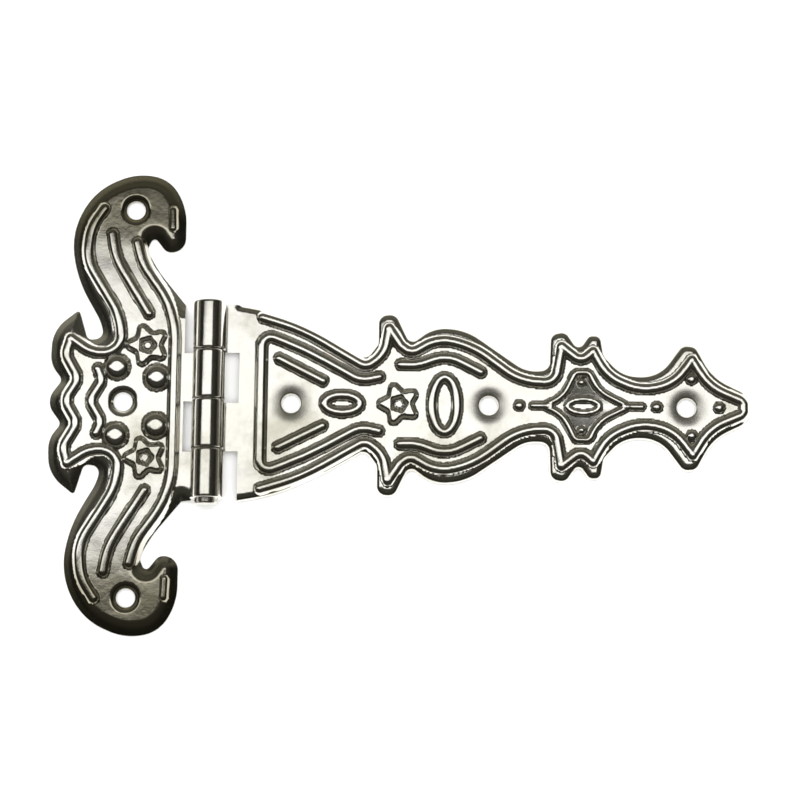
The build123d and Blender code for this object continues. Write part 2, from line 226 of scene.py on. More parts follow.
def distance(points, path, reach):
    """Distance of each point from a path, measured stretch by stretch. A point beyond the reach gets the reach."""
    gaps = np.full(len(points), float(reach))
    for first in range(0, len(path) - 1, STRETCH):
        stretch = path[first : first + STRETCH + 1]
        low, high = stretch.min(0) - reach, stretch.max(0) + reach
        near = np.flatnonzero(((points > low) & (points < high)).all(1))
        runs = np.diff(stretch, axis=0)
        squares = np.maximum((runs**2).sum(1), LEAST_SQUARE)
        offsets = points[near, None] - stretch[:-1]
        along = np.clip((offsets * runs).sum(2) / squares, 0, 1)
        nearest = ((offsets - along[..., None] * runs) ** 2).sum(2).min(1)
        gaps[near] = np.minimum(gaps[near], np.sqrt(nearest))
    return gaps


def from_middle(points, x, y):
    """Distance of each point from one place."""
    return np.hypot(points[:, 0] - x, points[:, 1] - y)


def inside(points, path):
    """True for the points inside a closed path."""
    x, y = points.T
    within = np.zeros(len(points), bool)
    for (x1, y1), (x2, y2) in zip(path[:-1], path[1:]):
        if y1 == y2:
            continue
        crossed = (y1 > y) != (y2 > y)
        within ^= crossed & (x < x1 + (y - y1) * (x2 - x1) / (y2 - y1))
    return within


def depth_inside(points, path, reach):
    """Distance from a closed path, positive inside it and negative outside."""
    return distance(points, path, reach) * np.where(inside(points, path), 1, -1)


FAR = 50
tip_gap = distance(np.array(strap_holes[-1:]), rounded(strap_outline), FAR)[0] - HOLE_RADIUS
print("metal beside the last strap hole", round(tip_gap, 1), "mm")

# %% [markdown]
# ## The punch
#
# A pressed bead is half round, with steep flanks that meet the flat in a tight crease. Bevelled curves joined by
# Boolean modifiers could make it, but they leave hard seams where beads meet. Here a bead's height is a circle's arc
# over the distance from its centre line, and an eased maximum of all heights leaves the small radius that sheet metal
# keeps. The back is pressed too, but narrower and shallower, because the sheet has thickness.

# %% Profiles of the punch
BEAD = (1.6, 0.95, 0.2)
THIN_BEAD = (1.1, 0.72, 0.12)
RING = (0.9, 0.2)
ROOT_EASE = 0.16


def ridge(gap, half_width, height, crest=0.0):
    """Height of a rounded bead, flat over its crest, at a gap from its middle. Outside the bead it runs on down."""
    flank = half_width - crest
    gap = np.maximum(gap - crest, 0)
    radius = (flank**2 + height**2) / (2 * height)
    sunk = radius - height
    arc = np.sqrt(radius**2 - np.minimum(gap, flank) ** 2) - sunk
    return arc - flank / sunk * np.maximum(gap - flank, 0)


def higher(first, second, ease=ROOT_EASE):
    """The higher of two heights, with their crease eased."""
    return np.maximum(first, second) + np.maximum(ease - abs(first - second), 0) ** 2 / (4 * ease)


def lower(first, second, ease=ROOT_EASE):
    """The lower of two heights, with their crease eased."""
    return -higher(-first, -second, ease)


print("bead", 2 * BEAD[0], "mm wide and", BEAD[1], "mm high")

# %% Five-pointed star
STAR_POINTS = 5
STAR_TIP = 7.4
STAR_WAIST = 3.8
STAR_TIP_RADIUS = 1.5
STAR_WAIST_RADIUS = 0.5
STAR_FLANK = 0.95
STAR_HEIGHT = 0.95
STAR_PIT = 2.5
STAR_PIT_RADIUS = 0.4
STAR_PIT_FLANK = 0.85
STAR_PIT_DEPTH = 0.85
STAR_FLOOR = STAR_HEIGHT - STAR_PIT_DEPTH
STAR_BOSS = 1.1
STAR_BOSS_FLANK = 0.2
STAR_BOSS_HEIGHT = 0.25
STAR_EASE = 0.22
STAR_REACH = 2.5


def star_height(points, x, y):
    """Raised star with a point to -X, a pentagon pit in it and a small flat boss in the pit."""
    turns = [math.pi + math.pi / STAR_POINTS * step for step in range(2 * STAR_POINTS)]
    corners = []
    for step, turn in enumerate(turns):
        reach, radius = (STAR_WAIST, STAR_WAIST_RADIUS) if step % 2 else (STAR_TIP, STAR_TIP_RADIUS)
        corners.append((x + reach * math.cos(turn), y + reach * math.sin(turn), radius))
    mouth = [(x - STAR_PIT * math.cos(turn), y - STAR_PIT * math.sin(turn), STAR_PIT_RADIUS) for turn in turns[::2]]
    body = depth_inside(points, rounded(corners, closed=True), STAR_REACH)
    pit = depth_inside(points, rounded(mouth, closed=True), STAR_REACH)
    raised = lower(STAR_HEIGHT * body / STAR_FLANK, STAR_HEIGHT, STAR_EASE)
    top = np.clip((STAR_BOSS - from_middle(points, x, y)) / STAR_BOSS_FLANK, 0, 1)
    boss = STAR_FLOOR + top * STAR_BOSS_HEIGHT
    sunk = higher(STAR_HEIGHT - STAR_PIT_DEPTH * pit / STAR_PIT_FLANK, boss, STAR_EASE)
    return lower(raised, sunk)


print("star", STAR_HEIGHT, "mm high, floor of its pit", round(STAR_FLOOR, 2), "mm above the field")

# %% [markdown]
# ## The sheet
#
# One flat net of triangles fills the outline: rows along the rim and round the holes, and an even grid between them.
# A plain grid with a Displace modifier would be shorter, but its edge would be ragged. A constrained Delaunay net
# keeps the outline and the hole edges exactly. The net is used twice, once at the front heights and once, turned
# over, at the back heights, and walls join the two along the outline and the holes.

# %% Rows of points
GRID = 0.35
ROW_SPACING = GRID * math.sqrt(0.75)
RIM_ROWS = (0.06, 0.16, 0.3, 0.5, 0.75, 1.0)
ROW_KEPT = 0.94
HOLE_ROWS = (0.1, 0.25, 0.45, 0.7, 0.95, 1.2)
HOLE_POINTS = 56
EDGE_CLEAR = 0.17
NET_REACH = 2


def rim_rows(rim, barrel_edge, rim_points, inward):
    """Rows of points inside the rim, without those that crowd in its inner corners or at the barrel."""
    rows = []
    for row in RIM_ROWS:
        shifted = (rim_points + inward * row)[1:-1]
        shifted = shifted[distance(shifted, rim, 2 * row) > ROW_KEPT * row]
        rows.append(shifted[distance(shifted, barrel_edge, NET_REACH) > EDGE_CLEAR / 2])
    return rows


def even_grid(outline, rim, barrel_edge, holes):
    """Staggered grid of points inside the outline, clear of the rows along its edges."""
    low, high = outline.min(0), outline.max(0)
    x, y = np.meshgrid(np.arange(low[0], high[0], GRID), np.arange(low[1], high[1], ROW_SPACING))
    x[1::2] += GRID / 2
    grid = np.stack([x.ravel(), y.ravel()], 1)
    grid = grid[inside(grid, np.concatenate([rim, barrel_edge]))]
    grid = grid[distance(grid, rim, NET_REACH) > RIM_ROWS[-1] + EDGE_CLEAR]
    grid = grid[distance(grid, barrel_edge, NET_REACH) > EDGE_CLEAR]
    for x, y in holes:
        grid = grid[from_middle(grid, x, y) > HOLE_RADIUS + HOLE_ROWS[-1] + EDGE_CLEAR]
    return grid


print("grid", GRID, "mm, rows along the rim", len(RIM_ROWS), "and round a hole", len(HOLE_ROWS))

# %% Flat net
TRIANGLES_INSIDE = 2
SAME_POINT = 1e-7


def flat_net(rim, barrel_edge, holes):
    """Points, triangles and border edges of the flat sheet, and the points to measure its slope at.

    On the rim itself the slope has no single value, so it is measured a little inside the rim.
    """
    rim_points = evenly(rim, GRID)
    runs = np.gradient(rim_points, axis=0)
    inward = np.stack([-runs[:, 1], runs[:, 0]], 1) / np.linalg.norm(runs, axis=1)[:, None]
    outline = np.concatenate([rim_points[:-1], barrel_edge[:-1]])
    loops = [outline]
    rows = rim_rows(rim, barrel_edge, rim_points, inward)
    for x, y in holes:
        circles = [oval(x, y, HOLE_RADIUS + row, HOLE_RADIUS + row, HOLE_POINTS)[:-1] for row in (0, *HOLE_ROWS)]
        loops.append(circles[0])
        rows += circles[1:]
    points = np.concatenate([*loops, *rows, even_grid(outline, rim, barrel_edge, holes)])
    edges = []
    start = 0
    for loop in loops:
        edges += [(start + index, start + (index + 1) % len(loop)) for index in range(len(loop))]
        start += len(loop)
    net = delaunay_2d_cdt([Vector(point) for point in points.tolist()], edges, [], TRIANGLES_INSIDE, SAME_POINT)
    places = np.array([tuple(place) for place in net[0]])
    triangles = np.array(net[2])
    for x, y in holes:
        triangles = triangles[from_middle(places[triangles].mean(1), x, y) > HOLE_RADIUS]
    probes = places.copy()
    probes[: len(rim_points) - 1] += inward[:-1] * RIM_ROWS[0]
    return places, triangles, edges, probes


# %% [markdown]
# ## Knuckles
#
# Each leaf ends in two tabs, which are rolled up round the pin, over it and down again, until only a small gap is left
# above the sheet. A separate tube would show a joint where the real metal is one piece. So the last row of a tab's
# points is swept round the pin axis, and the knuckle grows out of the sheet.

# %% Barrel edge with its tabs
TAB_ROUND = 0.36
TAB_COLUMNS = np.array((0, 0.05, 0.12, 0.22))
COLUMN_STEP = 0.42
NEAR = 0.01


def tabs(places):
    """Lowest and highest Y of the tabs at these places, counted from the top knuckle."""
    tops = [BARREL_LENGTH / 2 - place * KNUCKLE_PITCH - KNUCKLE_GAP / 2 for place in places]
    return [(top - KNUCKLE_PITCH + KNUCKLE_GAP, top) for top in tops]


def tab_columns(low, high):
    """Places across a tab, close together near its sides."""
    middle = np.linspace(low + TAB_ROUND, high - TAB_ROUND, math.ceil((high - low) / COLUMN_STEP))
    return np.concatenate([low + TAB_COLUMNS, middle, (high - TAB_COLUMNS)[::-1]])


def along_edge(edge, start, end):
    """Even steps along the leaf's edge, without the starting point."""
    if abs(end - start) < NEAR:
        return np.empty((0, 2))
    return evenly(np.array([(edge, start), (edge, end)]), GRID)[1:]


def tabbed_edge(edge, spans, start_y):
    """The leaf's edge along the barrel, out to the pin axis and back for each tab."""
    path = [np.array([(edge, start_y)])]
    downwards = start_y > 0
    out = np.linspace(edge, 0, math.ceil(abs(edge) / GRID))[1:]
    back = np.linspace(0, edge, math.ceil(abs(edge) / GRID))[1:]
    for low, high in sorted(spans, reverse=downwards):
        columns = tab_columns(low, high)
        if downwards:
            columns = columns[::-1]
        path.append(along_edge(edge, path[-1][-1][1], columns[0]))
        path.append(np.stack([out, np.full(len(out), columns[0])], 1))
        path.append(np.stack([np.zeros(len(columns) - 1), columns[1:]], 1))
        path.append(np.stack([back, np.full(len(back), columns[-1])], 1))
    path.append(along_edge(edge, path[-1][-1][1], -start_y))
    return np.concatenate(path)


strap_tabs = tabs((0, 2))
frame_tabs = tabs((1, 3))
print("top tab from", round(strap_tabs[0][0], 2), "to", round(strap_tabs[0][1], 2), "mm")

# %% Rolled tabs
SEAM_GAP = 0.4
LIP_ANGLE = math.asin((BORE_RADIUS - SEAM_GAP) / KNUCKLE_RADIUS)
ROLL_ANGLE = 1.5 * math.pi + LIP_ANGLE
ROLL_STEP = math.radians(6)


def curl(gap, width, drop):
    """How far an edge has curled down, in a quarter round, at a gap from it."""
    return drop * (1 - np.sqrt(1 - (1 - np.clip(gap / width, 0, 1)) ** 2))


def tab_round(y, low, high):
    """How far a tab's back and its knuckle's outside draw in near the tab's sides."""
    return curl(np.minimum(y - low, high - y), TAB_ROUND, TAB_ROUND)


def tab_lift(points, edge, spans):
    """How far the back of a leaf rises at the rounded sides of its tabs."""
    lift = np.zeros(len(points))
    x, y = points.T
    for low, high in spans:
        within = (x / edge < 1) & (y > low - NEAR) & (y < high + NEAR)
        lift = np.where(within, tab_round(y, low, high), lift)
    return lift


def rolled_tab(bore, outside, y, span, side, first):
    """Points and faces of a tab's roll. It goes on from rows of point numbers, and numbers its own from the first."""
    count = len(y)
    radii = (np.full(count, BORE_RADIUS), KNUCKLE_RADIUS - tab_round(y, *span))
    places = []
    faces = []
    for turn in np.linspace(0, ROLL_ANGLE, math.ceil(ROLL_ANGLE / ROLL_STEP) + 1)[1:]:
        x = -side * math.sin(turn)
        z = -math.cos(turn)
        places += [np.stack([radius * x, y, PIN_Z + radius * z], 1) for radius in radii]
        new_bore = np.arange(first, first + count)
        new_outside = new_bore + count
        first += 2 * count
        for k in range(count - 1):
            faces.append((bore[k + 1], bore[k], new_bore[k], new_bore[k + 1]))
            faces.append((outside[k], outside[k + 1], new_outside[k + 1], new_outside[k]))
        faces.append((bore[0], outside[0], new_outside[0], new_bore[0]))
        faces.append((outside[-1], bore[-1], new_bore[-1], new_outside[-1]))
        bore, outside = new_bore, new_outside
    faces += [(bore[k + 1], bore[k], outside[k], outside[k + 1]) for k in range(count - 1)]
    return np.concatenate(places), faces


print("tabs roll through", round(math.degrees(ROLL_ANGLE)), "degrees")

# %% [markdown]
# ## From the net to a leaf
#
# The front and back of a leaf are the same net at two heights. A mirror shows the slope of a surface more than its
# height, and averaging the triangles' own slopes would leave a faint pattern of the net. So the front gets custom
# normals that come straight from the punch, and all other faces keep Blender's smooth ones.

# %% Leaf mesh
SHARP_ANGLE = math.radians(50)
ON_AXIS = 1e-6


def placed(name, data):
    """A new object in the scene, with its mesh, light or camera."""
    made = bpy.data.objects.new(name, data)
    bpy.context.scene.collection.objects.link(made)
    return made


def leaf_faces(net, front, back, edge, spans):
    """Points and faces of a closed leaf: front, back, the walls between them and the rolled tabs."""
    points, triangles, edges, _ = net
    count = len(points)
    places = np.column_stack([np.tile(points, (2, 1)), np.concatenate([front, back])])
    faces = triangles.tolist() + (triangles[:, ::-1] + count).tolist()
    tab_ends = []
    for a, b in edges:
        if abs(points[a, 0]) < ON_AXIS and abs(points[b, 0]) < ON_AXIS:
            tab_ends.append((a, b))
        else:
            faces.append((b, a, a + count, b + count))
    for low, high in spans:
        row = [pair for pair in tab_ends if low - NEAR < points[pair[0], 1] < high + NEAR]
        bore = np.array([row[0][0], *[pair[1] for pair in row]])
        side = math.copysign(1, edge)
        roll, roll_faces = rolled_tab(bore, bore + count, points[bore, 1], (low, high), side, len(places))
        places = np.concatenate([places, roll])
        faces += roll_faces
    return places, faces


def leaf_piece(name, places, faces, front_normals, front_faces):
    """Object of a leaf. Its first faces, triangles of the front, get the punch's normals."""
    mesh = bpy.data.meshes.new(name)
    mesh.from_pydata(((places + (PIN_X, 0, 0)) * MM).tolist(), [], [[int(i) for i in face] for face in faces])
    mesh.shade_smooth()
    mesh.set_sharp_from_angle(angle=SHARP_ANGLE)
    corner_points = np.empty(len(mesh.loops), np.int32)
    mesh.loops.foreach_get("vertex_index", corner_points)
    corner_normals = np.zeros((len(mesh.loops), 3))
    corner_normals[: 3 * front_faces] = front_normals[corner_points[: 3 * front_faces]]
    mesh.normals_split_custom_set(corner_normals.tolist())
    print(name, len(mesh.vertices), "points", len(mesh.polygons), "faces")
    return placed(name, mesh)


# %% Heights
BACK_INSET = 0.5
BACK_LOSS = 0.2
RIM_WALL = 1.2
WALL_EASE = 0.2
RIM_REACH = 3.0
BEAD_REACH = 3.2
SEAT_WALL = 0.9
STEEPEST = 0.95
SLOPE_STEP = 0.03
PAST_EDGE = 1


def step_up(value, start, end):
    """Smooth step from 0 at the start to 1 at the end."""
    t = np.clip((value - start) / (end - start), 0, 1)
    return t * t * (3 - 2 * t)


def relief(points, beads, domes, base, inset=0.0, loss=0.0):
    """Height of beads, (path, half width, height, crest), and domes, (x, y, radius, height, crest), on a base."""
    gaps = [(distance(points, path, BEAD_REACH), *size) for path, *size in beads]
    for x, y, radius, *size in domes:
        gaps.append((np.minimum(from_middle(points, x, y), radius + PAST_EDGE), radius, *size))
    heights = base
    for gap, half_width, height, crest in gaps:
        flank = half_width - inset - crest
        heights = higher(heights, ridge(gap, half_width - inset, min(height - loss, STEEPEST * flank), crest))
    return heights


def back_heights(points, beads, domes, rim, holes, seat_radius):
    """Back of a leaf: the hollows behind its relief, its rim wall and its screw seats."""
    heights = FIELD_BACK + relief(points, beads, domes, np.zeros(len(points)), BACK_INSET, BACK_LOSS)
    for x, y in holes:
        heights = heights * step_up(from_middle(points, x, y), seat_radius, seat_radius + SEAT_WALL)
    return heights * step_up(distance(points, rim, RIM_REACH), RIM_WALL - WALL_EASE, RIM_WALL + WALL_EASE)


def slopes(front, points):
    """Unit normals of a front, from its rise over a small step each way."""
    steps = np.eye(2) * SLOPE_STEP
    rises = [(front(points + step) - front(points - step)) / (2 * SLOPE_STEP) for step in steps]
    normals = np.stack([-rises[0], -rises[1], np.ones(len(points))], 1)
    return normals / np.linalg.norm(normals, axis=1)[:, None]


def pressed_leaf(name, front, rim, edge, spans, start_y, holes, seat_radius, beads, domes):
    """A leaf pressed from its flat net and rolled at its tabs."""
    net = flat_net(rim, tabbed_edge(edge, spans, start_y), holes)
    points, triangles, _, probes = net
    back = back_heights(points, beads, domes, rim, holes, seat_radius) + tab_lift(points, edge, spans)
    places, faces = leaf_faces(net, front(points), back, edge, spans)
    return leaf_piece(name, places, faces, slopes(front, probes), len(triangles))


# %% [markdown]
# ## Strap leaf
#
# The strap carries the border bead that follows its wavy outline, two inner beads, three oval rings, a star, a
# diamond and small round dots. Its screw holes sit in wide soft dishes, and the field inside the diamond falls away a
# little from the centre line, so it mirrors the dark of the room. Separate objects for the ornaments would be easier
# to place, but all of them are one skin on the real strap, so they are heights of one sheet here.

# %% Strap piece
STRAP_RIM = (1.8, 1.1)
DISH_RADIUS = 5.3
DISH_DEPTH = 0.28
DISH_LIP = (0.3, 0.4)
SEAT_RADIUS = 4.75
DIAMOND_SLOPE = 0.07
DIAMOND_ROUND = 1.5
DOT = (0.75, 0.35)
SMALL_DOT_RADIUS = 1.2
SMALL_DOT = (0.55, 0.25)

strap_rim_half = mirrored(strap_outline)
strap_rim = rounded(strap_rim_half + mirrored(reversed(strap_rim_half)))
thick = [*strap_border, *map(mirrored, strap_border), strap_tip_bead, strap_inner_border, strap_diagonal]
thick += [mirrored(strap_diagonal), strap_brow, mirrored(strap_brow)]
thin = [diamond_flank, mirrored(diamond_flank), *diamond_tails]
diamond = rounded(diamond_flank + mirrored(diamond_flank)[::-1], closed=True)
strap_beads = [(rounded(path), *BEAD) for path in thick] + [(rounded(path), *THIN_BEAD) for path in thin]
for x, half_length, half_width, ring_half_width in strap_rings:
    strap_beads.append((oval(x, 0, half_length, half_width), ring_half_width, *RING))
strap_domes = [(x, y, r, *(SMALL_DOT if r < SMALL_DOT_RADIUS else DOT)) for x, y, r in strap_dots]


def strap_front(points):
    """Height of the strap's front."""
    fall = DIAMOND_SLOPE * (np.hypot(points[:, 1], DIAMOND_ROUND) - DIAMOND_ROUND)
    field = np.where(inside(points, diamond), -fall, 0)
    heights = higher(relief(points, strap_beads, strap_domes, field), star_height(points, *strap_star))
    heights -= curl(distance(points, strap_rim, RIM_REACH), *STRAP_RIM)
    for x, y in strap_holes:
        gap = from_middle(points, x, y) - HOLE_RADIUS
        dish = DISH_DEPTH * (1 - np.clip(gap / (DISH_RADIUS - HOLE_RADIUS), 0, 1)) ** 2
        heights -= dish + curl(gap, *DISH_LIP)
    return FIELD_FRONT + heights


strap = pressed_leaf(
    "pressed_strap", strap_front, strap_rim, STRAP_EDGE, strap_tabs, BARREL_END, strap_holes, SEAT_RADIUS,
    strap_beads, strap_domes,
)
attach(strap, "strap_side")
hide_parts("strap_leaf")

# %% [markdown]
# ## Frame leaf
#
# The short leaf has curled lobes, pointed fins and a wavy left edge. It is pressed in the same way as the strap, so
# the same functions make it from its own drawing. Only its front differs: the rim slopes down more widely, with a soft
# shoulder, and the holes sink in short cones.

# %% Frame leaf piece
FRAME_RIM_WIDTH = 2.5
FRAME_RIM_DROP = 1.6
RIM_EASE = 0.8
FRAME_RIM_REACH = 4
SINK_RADIUS = 3.45
SINK_EASE = 0.5
SINK_DEPTH = 0.9
BALL = (1.55, 1.1)

frame_rim = rounded(list(reversed(frame_outline)) + mirrored(frame_outline))
thick = [frame_long_bead, frame_arm_bead]
thick += [*map(mirrored, thick), frame_wave_bead, frame_inner_wave, frame_border]
frame_beads = [(rounded(path), *BEAD) for path in thick]
frame_beads += [(rounded(path), *THIN_BEAD) for path in (frame_lobe_bead, mirrored(frame_lobe_bead))]
frame_domes = [(x, side * y, r, *BALL) for x, y, r in frame_balls for side in (1, -1)]


def frame_front(points):
    """Height of the frame leaf's front."""
    level = np.zeros(len(points))
    gap = distance(points, frame_rim, FRAME_RIM_REACH)
    slope = -higher(FRAME_RIM_DROP * (1 - gap / FRAME_RIM_WIDTH), level, RIM_EASE)
    heights = relief(points, frame_beads, frame_domes, slope)
    for side in (1, -1):
        heights = higher(heights, star_height(points, frame_star[0], side * frame_star[1]))
    for x, y in frame_holes:
        gap = np.minimum(from_middle(points, x, y), SINK_RADIUS + PAST_EDGE)
        heights -= higher(SINK_DEPTH * (SINK_RADIUS - gap) / (SINK_RADIUS - HOLE_RADIUS), level, SINK_EASE)
    return FIELD_FRONT + heights


leaf = pressed_leaf(
    "pressed_frame_leaf", frame_front, frame_rim, FRAME_EDGE, frame_tabs, -BARREL_END, frame_holes, SINK_RADIUS,
    frame_beads, frame_domes,
)
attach(leaf, "frame_side")
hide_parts("frame_leaf")

# %% [markdown]
# ## Pin
#
# The pin is a plain round bar, cut to length, flush with the barrel at one end and standing out of it at the other. A
# cylinder with a Bevel modifier would come close. A lathe profile gives both the small rounding that cutting and
# plating leave and the slightly domed face, so the end that stands out catches the light.

# %% Pin piece
PIN_STICK_OUT = 1.5
PIN_ROUND = 0.55
ROUND_POINTS = 9
PIN_DOME = 0.12
DOME_MIDWAY = 0.45
DOME_MIDWAY_FALL = 0.3
PIN_SEGMENTS = 72


def lathe(name, profile, segments):
    """Closed mesh turned about the pin axis from (radius, y) points whose ends are on the axis."""
    turns = np.linspace(0, 2 * math.pi, segments, endpoint=False)
    inner = profile[1:-1]
    places = [(PIN_X, profile[0][1], PIN_Z), (PIN_X, profile[-1][1], PIN_Z)]
    for radius, y in inner:
        places += [(PIN_X + radius * math.cos(turn), y, PIN_Z + radius * math.sin(turn)) for turn in turns]
    last = 2 + (len(inner) - 1) * segments
    faces = []
    for k in range(segments):
        after = (k + 1) % segments
        faces.append((0, 2 + after, 2 + k))
        faces.append((1, last + k, last + after))
        for row in range(len(inner) - 1):
            start = 2 + row * segments
            faces.append((start + k, start + after, start + segments + after, start + segments + k))
    mesh = bpy.data.meshes.new(name)
    mesh.from_pydata((np.array(places) * MM).tolist(), [], faces)
    mesh.shade_smooth()
    return placed(name, mesh)


def rounded_end(y, outward):
    """Profile of a rounded pin end, from the axis out to the side."""
    face = y - outward * PIN_DOME
    profile = [(0, y), (PIN_RADIUS * DOME_MIDWAY, y - outward * PIN_DOME * DOME_MIDWAY_FALL)]
    for turn in np.linspace(math.pi / 2, 0, ROUND_POINTS):
        radius = PIN_RADIUS - PIN_ROUND + PIN_ROUND * math.cos(turn)
        profile.append((radius, face - outward * PIN_ROUND * (1 - math.sin(turn))))
    return profile


pin_profile = rounded_end(BARREL_LENGTH / 2, 1) + rounded_end(-BARREL_LENGTH / 2 - PIN_STICK_OUT, -1)[::-1]
pin = lathe("turned_pin", pin_profile, PIN_SEGMENTS)
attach(pin, "frame_side")
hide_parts("hinge_pin")
print("pin", len(pin.data.polygons), "faces")

# %% [markdown]
# ## Shader sums
#
# A finish is easier to read as a sum than as a list of nodes. This class wraps one output of a node, so that an
# expression on values adds its Math nodes by itself.


# %% Socket class
class Value:
    """One output of a node; sums, differences and products of values add Math nodes."""

    def __init__(self, tree, socket=None):
        self.tree = tree
        self.socket = socket

    def node(self, kind, settings=None, sockets=None, output=0):
        """Adds any node: its settings first, then the values or links of its sockets."""
        made = self.tree.nodes.new(kind)
        for key, value in (settings or {}).items():
            setattr(made, key, value)
        for key, value in (sockets or {}).items():
            if isinstance(value, Value):
                self.tree.links.new(value.socket, made.inputs[key])
            else:
                made.inputs[key].default_value = value
        return Value(self.tree, made.outputs[output] if made.outputs else None)

    def maths(self, operation, first, second):
        """A sum, difference or product of two values."""
        return self.node("ShaderNodeMath", {"operation": operation}, {0: first, 1: second})

    def mix(self, share, first, second):
        """A colour between two others. The Mix node's colour sockets share their names, so they go by number."""
        return self.node("ShaderNodeMix", {"data_type": "RGBA"}, {0: share, 6: first, 7: second}, 2)

    def __abs__(self):
        return self.node("ShaderNodeMath", {"operation": "ABSOLUTE"}, {0: self})

    def __add__(self, other):
        return self.maths("ADD", self, other)

    def __radd__(self, other):
        return self.maths("ADD", other, self)

    def __sub__(self, other):
        return self.maths("SUBTRACT", self, other)

    def __rsub__(self, other):
        return self.maths("SUBTRACT", other, self)

    def __mul__(self, other):
        return self.maths("MULTIPLY", self, other)

    def __rmul__(self, other):
        return self.maths("MULTIPLY", other, self)


# %% Finish helpers
def new_finish(name):
    """An empty material, and a value to start its nodes from."""
    material = bpy.data.materials.new(name)
    material.use_nodes = True
    material.node_tree.nodes.clear()
    return material, Value(material.node_tree)


def ramp(start, value, low, high):
    """Smooth step of a value from 0 at the low end to 1 at the high end."""
    sockets = {"Value": value, "From Min": low, "From Max": high}
    return start.node("ShaderNodeMapRange", {"interpolation_type": "SMOOTHSTEP"}, sockets)


def noise(start, place, scale, detail=2.0, roughness=0.5):
    """Soft noise of a scale per metre."""
    sockets = {"Vector": place, "Scale": scale, "Detail": detail, "Roughness": roughness}
    return start.node("ShaderNodeTexNoise", {}, sockets)


def metal(start, tint, dullness, bump):
    """A metal's shader at the material's output."""
    sockets = {"Base Color": tint, "Metallic": 1.0, "Roughness": dullness, "Normal": bump}
    shine = start.node("ShaderNodeBsdfPrincipled", {}, sockets)
    start.node("ShaderNodeOutputMaterial", {}, {"Surface": shine})


# %% [markdown]
# ## Bright plate
#
# Bright nickel over pressed steel mirrors its surroundings, with a slightly warm tint. Close up it is not perfect:
# the sheet under it is a little wavy, fine specks break the mirror up, and the plate is stained in places. Painted
# shade darkens its colour towards the ends of the lobes, standing in for their dim reflection, and in a ring round the
# strap's holes, standing in for the dark of their dishes, where the plate is also rougher. Painted maps could show
# this, but noise in the object's own space needs no unwrapping and has no seams. Lengths in a finish are in metres.

# %% Bright plate finish
BRIGHT = (0.93, 0.92, 0.88, 1)
WARM = (0.86, 0.84, 0.76, 1)
STAINED = (0.52, 0.49, 0.33, 1)
# Painted shade for the dim ends of the lobes.
LOBE_SHADE = (0.3, 0.27, 0.16, 1)
# Painted shade for the dark rings round the strap's holes.
HOLE_SHADE = (0.5, 0.48, 0.38, 1)
STAIN_LIMITS = (0.52, 0.72)
# Where the painted shade of the lobes begins, and how far its edge wanders.
LOBE_SHADE_LIMITS = (0.037, 0.053)
LOBE_SHADE_DRIFT = 0.012
# Reach of the painted shade and the extra roughness round the strap's holes.
HALO_LIMITS = (0.0022, 0.0065)
PLATE_BUMP = 0.0004

plate, start = new_finish("bright_plate")
place = start.node("ShaderNodeTexCoord", {}, {}, "Object")
cloud = noise(start, place, 55.0, 3.0)
speck = noise(start, place, 900.0)
grain = noise(start, place, 3200.0, 1.0)
sway = noise(start, place, 120.0, 1.0)
stain = ramp(start, noise(start, place, 38.0, 4.0, 0.6), *STAIN_LIMITS)
across = start.node("ShaderNodeSeparateXYZ", {}, {0: place}, "Y")
# Mask of the painted shade at the ends of the lobes, far from the centre line.
lobe_shade = ramp(start, abs(across) + LOBE_SHADE_DRIFT * cloud, *LOBE_SHADE_LIMITS)
# Ring round each strap hole: darkened in colour as painted shade, and made rougher.
halo = 0.0
for x, y in strap_holes:
    middle = ((PIN_X + x) * MM, y * MM, FIELD_FRONT * MM)
    gap = start.node("ShaderNodeVectorMath", {"operation": "DISTANCE"}, {0: place, 1: middle}, "Value")
    halo = halo + (1 - ramp(start, gap, *HALO_LIMITS))
tint = start.mix(cloud, BRIGHT, WARM)
tint = start.mix(0.45 * stain + 0.1 * grain, tint, STAINED)
# Painted shade: the ends of the lobes are darkened in colour.
tint = start.mix(0.75 * lobe_shade, tint, LOBE_SHADE)
# Painted shade: a darker ring round each strap hole.
tint = start.mix(0.3 * halo, tint, HOLE_SHADE)
dullness = 0.09 + 0.05 * cloud + 0.06 * speck + 0.05 * stain + 0.16 * halo
height = 0.25 * sway + 0.008 * grain + (0.012 + 0.02 * lobe_shade) * speck
bump = start.node("ShaderNodeBump", {}, {"Strength": 1.0, "Distance": PLATE_BUMP, "Height": height})
metal(start, tint, dullness, bump)
for piece in (strap, leaf):
    piece.data.materials.append(plate)
print("bright plate", len(plate.node_tree.nodes), "nodes")

# %% [markdown]
# ## Pin steel
#
# The pin is drawn wire, plated with the leaves, so it is a little duller and has fine rings from turning its ends.
# The rings could be cut in the mesh, but they are far finer than its faces, so a wave in the bump is enough.

# %% Pin finish
PIN_BRIGHT = (0.75, 0.74, 0.7, 1)
PIN_WARM = (0.66, 0.64, 0.58, 1)
PIN_BUMP = 0.0002
RING_SCALE = 900.0

pin_steel, start = new_finish("pin_steel")
place = start.node("ShaderNodeTexCoord", {}, {}, "Object")
cloud = noise(start, place, 300.0)
bands = {"wave_type": "BANDS", "bands_direction": "Y"}
rings = start.node("ShaderNodeTexWave", bands, {"Vector": place, "Scale": RING_SCALE}, "Fac")
tint = start.mix(cloud, PIN_BRIGHT, PIN_WARM)
bump = start.node("ShaderNodeBump", {}, {"Strength": 0.1, "Distance": PIN_BUMP, "Height": rings + cloud})
metal(start, tint, 0.2 + 0.12 * cloud, bump)
pin.data.materials.append(pin_steel)
print("pin steel", len(pin_steel.node_tree.nodes), "nodes")

